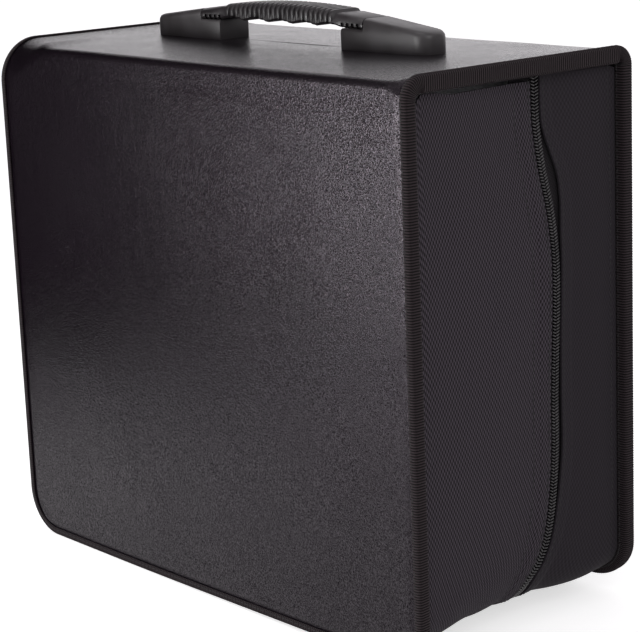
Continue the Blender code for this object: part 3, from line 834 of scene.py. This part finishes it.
def zipRun(side):
    # Points along the chain: place, direction along, out and across (towards the back)
    leftTop = sliderBox[0].z - zipShape["parkGap"] if side < 0 else wallTop
    radius, level = zipShape["radius"], zipShape["level"]
    run = case["halfWidth"] - level
    lengths = (leftTop - level - radius, radius * math.pi / 2, 2 * (run - radius),
               radius * math.pi / 2, wallTop - level - radius)
    points = []
    for part, length in enumerate(lengths):
        count = round(length / zipShape["step"])
        for k in range(count + (1 if part == 4 else 0)):
            place, out = runPoint(part, k / count, level, radius, leftTop, wallTop)
            place.y = zipAcross(place.x, place.z)
            points.append((settled(place), out))
    return points


def zipFrame(points, index):
    before, after = points[max(0, index - 1)][0], points[min(len(points) - 1, index + 1)][0]
    place, out = points[index]
    along = (after - before).normalized()
    across = out.cross(along).normalized()
    if across.y < 0:
        across = -across
    return place, along, out, across


def makeZipSide(side):
    word = "front" if side < 0 else "back"
    points = zipRun(side)
    frames = [zipFrame(points, k) for k in range(len(points))]
    columns = zipShape["tapeColumns"]
    runs = [0.0]
    for first, second in zip(points, points[1:]):
        runs.append(runs[-1] + (second[0] - first[0]).length)

    def reach(column):
        start = zipShape["tapeStart"]
        return start + (zipShape["tapeReach"] - start) * column / columns

    def place(column, row):
        origin, along, out, across = frames[row]
        return origin + across * side * reach(column) - out * zipShape["tapeLevel"]

    bm = shapedGrid(columns, len(points) - 1, place, lambda column, row: (runs[row], reach(column)))
    bmesh.ops.solidify(bm, geom=bm.faces, thickness=zipShape["tapeThickness"])
    tapePiece = showPiece(f"{word}_zip_tape_cloth", bm, [zipTapeCloth], f"{word}_half",
                          stands=[f"{word}_zip_tape"])

    teeth, slant = [], math.radians(zipShape["slant"])
    reached = 0.25 * zipShape["toothPitch"] * (1 + side)
    for (origin, along, out, across), run in zip(frames, runs):
        if run < reached:
            continue
        past = run - reached
        reached += zipShape["toothPitch"]
        outward = across * side
        lean = (outward * math.cos(slant) + along * math.sin(slant)).normalized()
        middle = origin + outward * zipShape["toothCentre"] - along * past
        teeth.append(standing(middle, lean, out))
    tooth = bead(zipShape["toothLength"], zipShape["toothWidth"], zipShape["toothHeight"], 6, 6)
    bm = copiesOf(tooth, teeth)
    showPiece(f"{word}_coil_teeth", bm, [coilNylon], f"{word}_half",
              stands=[f"{word}_zip_coil"], smoothAngle=80)


for side in (-1, 1):
    makeZipSide(side)
    makeGusset(side)
    makeGussetStitches(side)
print("gussets and zip ready")


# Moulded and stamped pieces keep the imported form, with their edges broken as the real ones are

softened = {
    "handle_boot_left": (handlePlastic, 0.9 * mm), "handle_boot_right": (handlePlastic, 0.9 * mm),
    "handle_grip": (gripPlastic, 0.35 * mm),
    "zip_slider": (lacqueredZinc, 0.3 * mm), "zip_puller": (lacqueredZinc, 0.35 * mm),
    "binder_bar_front": (binderPlastic, 0.5 * mm), "binder_bar_back": (binderPlastic, 0.5 * mm),
}
bodyOf = {"handle_grip": "carrying_grip", "zip_slider": "slider", "zip_puller": "puller"}


gripRibs = {
    "pitch": 4.1 * mm, "count": 23, "raise": 0.3 * mm, "sink": 1.0 * mm, "widen": 0.45 * mm,
    "spare": 0.1 * mm,
    "clear": 3.0 * mm,             # the ribs start this far under the boots' tops
    "crest": (0.2, 0.65),          # shares of the pitch
    # shares of the pitch whose faces keep the grip plastic; the faces outside get the painted shade of the
    # gaps
    "unshadedPhase": (0.1, 0.75),
}


def sharpenRibs(bm):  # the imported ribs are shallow: their crests rise and the gaps between them sink
    reach = gripRibs["pitch"] * gripRibs["count"] / 2 + gripRibs["spare"]
    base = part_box("handle_boot_left")[1].z - gripRibs["clear"]
    # Faces in the gaps between the ribs get the second material, a near-black plastic that paints the
    # shade in the gaps
    for face in bm.faces:
        middle = face.calc_center_median()
        phase = ((middle.x + reach) / gripRibs["pitch"]) % 1
        first, last = gripRibs["unshadedPhase"]
        if abs(middle.x) < reach and middle.z > base and not first < phase < last:
            face.material_index = 1
    for vertex in bm.verts:
        if abs(vertex.co.x) > reach or vertex.co.z < base:
            continue
        phase = ((vertex.co.x + reach) / gripRibs["pitch"]) % 1
        first, last = gripRibs["crest"]
        onCrest = first < phase < last
        away = Vector((0, vertex.co.y, vertex.co.z - base)).normalized()
        vertex.co += away * (gripRibs["raise"] if onCrest else -gripRibs["sink"])
        if onCrest:
            vertex.co.x += gripRibs["widen"] * (1 if phase > (first + last) / 2 else -1)


def softenedCopy(nodeName, material, width):
    bm = bmesh.new()
    bm.from_mesh(frame["nodes"][nodeName].data)
    if nodeName == "handle_grip":
        sharpenRibs(bm)
    bmesh.ops.remove_doubles(bm, verts=bm.verts, dist=1e-6)
    bmesh.ops.dissolve_limit(bm, angle_limit=math.radians(2), verts=bm.verts, edges=bm.edges)
    edges = [e for e in bm.edges if len(e.link_faces) == 2 and e.calc_face_angle(0) > math.radians(32)]
    bmesh.ops.bevel(bm, geom=edges, offset=width, offset_type="OFFSET", segments=2, profile=0.5,
                    affect="EDGES", material=-1, clamp_overlap=True)
    # the grip's second material is painted shade for its rib gaps
    materials = [material, ribGapPaintedShadePlastic] if nodeName == "handle_grip" else [material]
    showPiece(nodeName + "_moulded", bm, materials,
              bodyOf.get(nodeName, "spine"), stands=[nodeName], smoothAngle=50)


for nodeName, (material, width) in softened.items():
    softenedCopy(nodeName, material, width)
for nodeName, node in frame["nodes"].items():
    if nodeName.startswith(("handle_screw", "handle_plate", "binder_post")):
        node.data.materials.clear()
        node.data.materials.append(platedSteel)
print("handle, slider and fixings ready")


# The bound sleeves: thin leaves that hang from the punched strips, with clear pockets

sleeves = {
    "count": 46, "columns": 8, "rows": 12, "thickness": 0.35 * mm, "sway": 0.45 * mm,
    "stripHeight": 14 * mm,
    "freeReach": 60 * mm, "pocketMargin": 4 * mm, "pocketGap": 3 * mm,
    "filmLift": 0.35 * mm, "filmThickness": 0.06 * mm,
}


def makeSleeves():
    low, high = pagesBox
    depth = (high.y - low.y) / sleeves["count"]
    pages, films = bmesh.new(), bmesh.new()

    def pageY(number, x, z):
        middle = low.y + (number + 0.5) * depth
        freeShare = ease((high.z - sleeves["stripHeight"] - z) / sleeves["freeReach"])
        sway = noise.noise(Vector((x * 9, number * 0.35, z * 7)))
        return middle + sleeves["sway"] * freeShare * sway

    def addSheet(target, number, x0, x1, z0, z1, columns, rows, thickness, shift):
        def place(column, row):
            x = x0 + (x1 - x0) * column / columns
            z = z0 + (z1 - z0) * row / rows
            return Vector((x, pageY(number, x, z) + shift, z))
        bm = shapedGrid(columns, rows, place)
        bmesh.ops.solidify(bm, geom=bm.faces, thickness=thickness)
        mesh = meshOf("leaf", bm)
        target.from_mesh(mesh)
        bpy.data.meshes.remove(mesh)

    pageTop = high.z - sleeves["stripHeight"]
    margin, gap = sleeves["pocketMargin"], sleeves["pocketGap"]
    middleZ = (low.z + pageTop) / 2
    for number in range(sleeves["count"]):
        addSheet(pages, number, low.x, high.x, low.z, high.z, sleeves["columns"], sleeves["rows"],
                 sleeves["thickness"], 0.0)
        for face in (-1, 1):
            shift = face * sleeves["filmLift"]
            for x0, x1 in ((low.x + margin, -gap / 2), (gap / 2, high.x - margin)):
                for z0, z1 in ((low.z + margin, middleZ - gap / 2),
                               (middleZ + gap / 2, pageTop - margin)):
                    addSheet(films, number, x0, x1, z0, z1, 3, 4, sleeves["filmThickness"], shift)
    showPiece("sleeve_leaves", pages, [sleeveSheet], "spine", stands=["sleeve_pages"])
    showPiece("sleeve_pockets", films, [pocketFilm], "spine")
    strip = bmesh.new()
    bmesh.ops.create_cube(strip, size=1.0)
    bmesh.ops.scale(strip, vec=(high.x - low.x, high.y - low.y, sleeves["stripHeight"]), verts=strip.verts)
    centre = (0, (low.y + high.y) / 2, high.z - sleeves["stripHeight"] / 2)
    bmesh.ops.translate(strip, vec=centre, verts=strip.verts)
    for number in range(1, sleeves["count"]):
        bmesh.ops.bisect_plane(strip, geom=strip.verts[:] + strip.edges[:] + strip.faces[:],
                               plane_co=(0, low.y + number * depth, 0), plane_no=(0, 1, 0))
    showPiece("sleeve_strips", strip, [sleeveSheet], "spine")


makeSleeves()
print("sleeves ready")


# The camera stands where the photograph was taken: off the front right corner, a little above
view = {
    "target": (0.0137, 0.0, 0.1521),
    "distance": 1.2043,
    "azimuth": 49.543,
    "elevation": 13.249,
    "roll": -2.287,
    "focalPixels": 2080.0,
    "imageWidth": 640.0,
    "sensor": 36.0,
}


def makeCamera():
    azimuth, elevation = math.radians(view["azimuth"]), math.radians(view["elevation"])
    back = Vector((math.sin(azimuth) * math.cos(elevation),
                   -math.cos(azimuth) * math.cos(elevation), math.sin(elevation)))
    data = bpy.data.cameras.new("photoCamera")
    data.sensor_width = view["sensor"]
    data.lens = view["focalPixels"] * view["sensor"] / view["imageWidth"]
    data.clip_end = 30.0
    camera = placeObject("photoCamera", data)
    turn = (-back).to_track_quat("-Z", "Y").to_matrix().to_4x4()
    roll = Matrix.Rotation(math.radians(view["roll"]), 4, "Z")
    camera.matrix_world = (Matrix.Translation(Vector(view["target"]) + back * view["distance"])
                           @ turn @ roll)
    bpy.context.scene.camera = camera


# A pale floor in a white studio, with soft lamps. A black flag, which shows in mirror images only,
# gives the leather its dark side

studio = {
    "ambient": 0.50, "mirrored": 0.80,
    "tint": (1.0, 0.965, 1.0, 1.0),
    "lamps": (  # place, aim, size, watts
        ((-0.29, -0.80, 0.20), (0.17, -0.08, 0.28), 0.17, 5.2),
        ((1.7, -0.7, 1.3), (0, 0, 0.15), 1.0, 8.0),
        ((-1.3, 1.3, 0.62), (0, 0, 0.3), 1.0, 0.9),
        ((-0.2, -0.6, 1.8), (0, 0, 0.3), 0.8, 3.0),
    ),
    "flag": ((-0.68, -0.64, 0.0), (-0.68, 0.12, 1.5)),
    "flagFoot": ((-0.68, -0.80), (-0.10, -0.80), (-0.10, -0.47), (-0.30, -0.37), (-0.43, -0.25),
                 (-0.68, -0.12)),
    "floorGlow": 0.62, "floorLevel": -0.2 * mm, "floorHalf": 6.0,
}


def stagePiece(name, corners, material, onlyMirrored=False):
    bm = bmesh.new()
    bm.faces.new([bm.verts.new(corner) for corner in corners])
    mesh = meshOf(name, bm)
    mesh.materials.append(material)
    piece = placeObject(name, mesh)
    if onlyMirrored:
        piece.visible_camera = piece.visible_shadow = piece.visible_diffuse = False


def seenDirectly(tree):  # 1 for the camera, less in mirror images, 0 for the light that falls on things
    camera, glossy, clear = [addNode(tree, "LightPath", {}, f"Is {ray} Ray")
                             for ray in ("Camera", "Glossy", "Transmission")]
    mirrored = addNode(tree, "Math", {0: glossy, 1: studio["mirrored"]}, operation="MULTIPLY")
    seen = addNode(tree, "Math", {0: camera, 1: mirrored}, operation="MAXIMUM")
    return addNode(tree, "Math", {0: seen, 1: clear}, operation="MAXIMUM")


def makeStudio():
    # Paper floor: it glows where it is looked at, so that it reads white but keeps the soft shadow
    paper, tree, shader = startMaterial("paperFloor", "#f4f4f4", 0.9, Specular_IOR_Level=0.0)
    shader.inputs["Emission Color"].default_value = (1, 1, 1, 1)
    glow = addNode(tree, "Math", {0: seenDirectly(tree), 1: studio["floorGlow"]}, operation="MULTIPLY")
    tree.links.new(glow, shader.inputs["Emission Strength"])
    level = studio["floorLevel"]
    half = studio["floorHalf"]
    corners = [(-half, -half, level), (half, -half, level), (half, half, level), (-half, half, level)]
    stagePiece("paleFloor", corners, paper)
    velvet = startMaterial("blackVelvet", "#020202", 0.95)[0]
    (x, nearY, low), (x, farY, high) = studio["flag"]
    stagePiece("blackFlag", [(x, nearY, low), (x, farY, low), (x, farY, high), (x, nearY, high)], velvet,
               True)
    stagePiece("flagFoot", [(x, y, 0) for x, y in studio["flagFoot"]], velvet, True)
    for place, target, size, watts in studio["lamps"]:
        data = bpy.data.lights.new("softLamp", "AREA")
        data.size = size
        data.energy = watts
        lamp = placeObject("softLamp", data)
        aim = (Vector(target) - Vector(place)).to_track_quat("-Z", "Y")
        lamp.matrix_world = Matrix.Translation(place) @ aim.to_matrix().to_4x4()
    world = bpy.data.worlds.new("studio")
    bpy.context.scene.world = world
    world.use_nodes = True
    tree = world.node_tree
    strength = addNode(tree, "MapRange", {"Value": seenDirectly(tree), "To Min": studio["ambient"],
                                          "To Max": 1.0})
    straight = addNode(tree, "LightPath", {}, "Is Camera Ray")
    sky = addNode(tree, "Mix", {0: straight, 6: studio["tint"], 7: (1, 1, 1, 1)}, 2, data_type="RGBA")
    background = tree.nodes["Background"]
    tree.links.new(sky, background.inputs["Color"])
    tree.links.new(strength, background.inputs["Strength"])
    bpy.context.scene.view_settings.view_transform = "Standard"


makeCamera()
makeStudio()
print("camera and studio ready")
